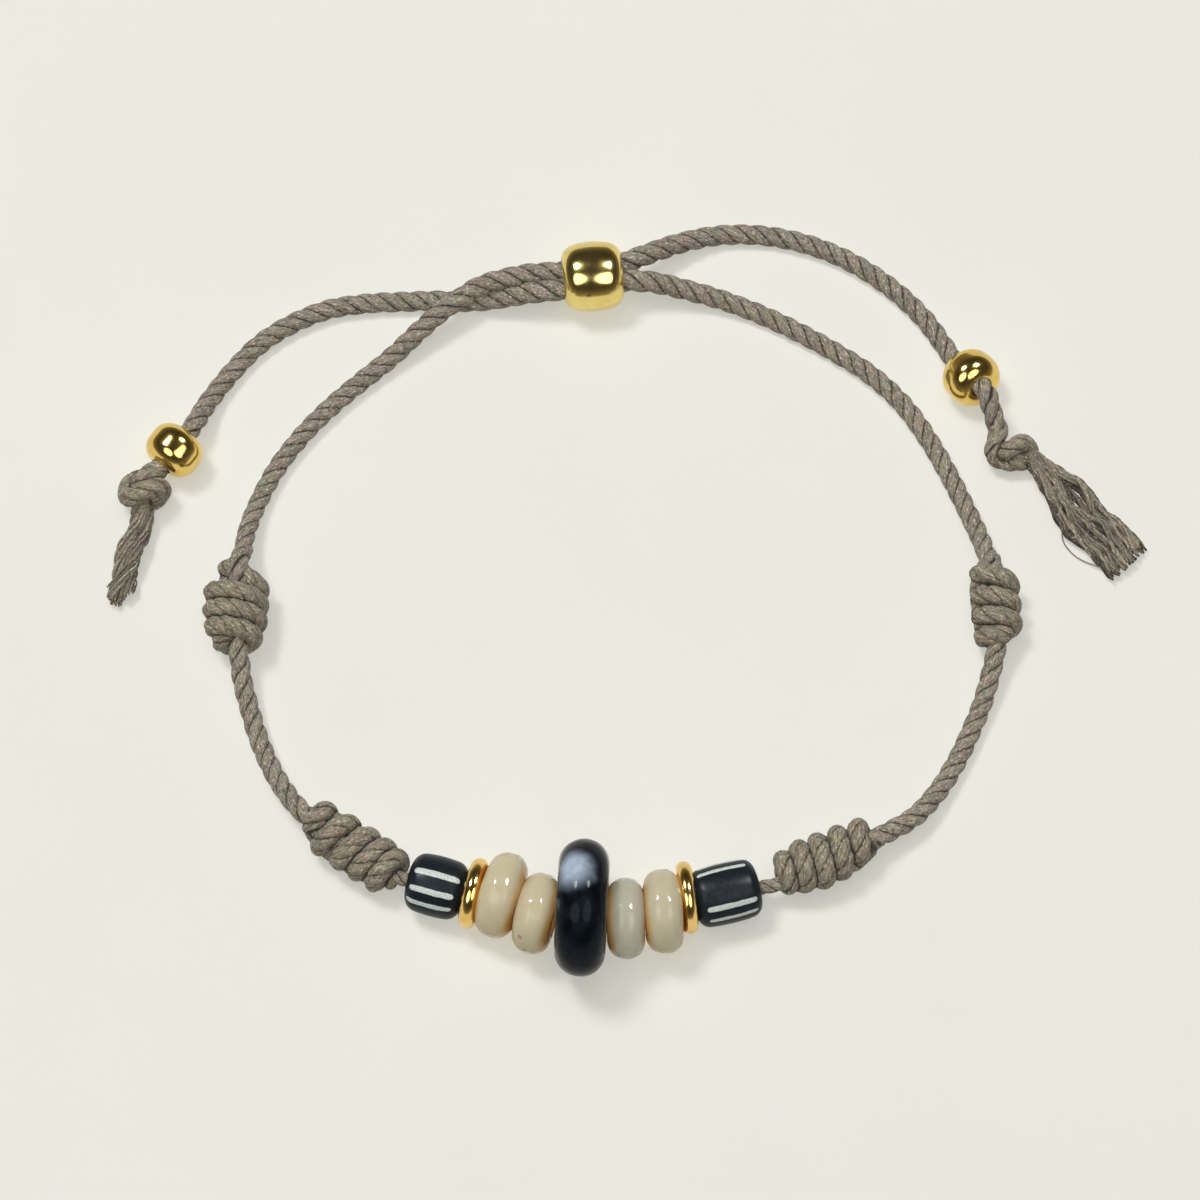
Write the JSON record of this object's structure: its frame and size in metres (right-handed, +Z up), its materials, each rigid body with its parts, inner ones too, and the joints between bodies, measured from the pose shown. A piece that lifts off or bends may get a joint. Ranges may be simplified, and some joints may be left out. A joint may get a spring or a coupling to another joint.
{
  "type": "rope bracelet",
  "caption": "Adjustable twisted-rope bracelet with glass and gold beads at the front, barrel knots, and two rope tails through a slide bead.",
  "frame": {"origin": "under the middle of the wrist loop, on the surface it lies on", "axes": "+X to the right, +Y from the bead front to the slide bead at the back, +Z up"},
  "size_m": [0.0936, 0.0729, 0.012],
  "materials": {
    "rope": "taupe twisted yarn",
    "striped_glass": "satin black with inlaid white stripes",
    "cream_glass": "glossy opaque cream with amber edges",
    "black_glass": "glossy black",
    "gold": "polished gold plate"
  },
  "bodies": {
    "root": {"rope_left": "rope", "rope_right": "rope", "rope_front_left": "rope", "rope_front_right": "rope", "bead_cord": "rope", "knot_left": "rope", "knot_right": "rope", "knot_front_left": "rope", "knot_front_right": "rope", "striped_bead_left": "striped_glass", "spacer_left": "gold", "cream_bead_1": "cream_glass", "cream_bead_2": "cream_glass", "black_disc": "black_glass", "cream_bead_3": "cream_glass", "cream_bead_4": "cream_glass", "spacer_right": "gold", "striped_bead_right": "striped_glass", "slide_bead": "gold", "tail_left": "rope", "tail_right": "rope", "stopper_left": "gold", "stopper_right": "gold", "end_knot_left": "rope", "end_knot_right": "rope", "frayed_end_left": "rope", "frayed_end_right": "rope"}
  },
  "joints": []
}
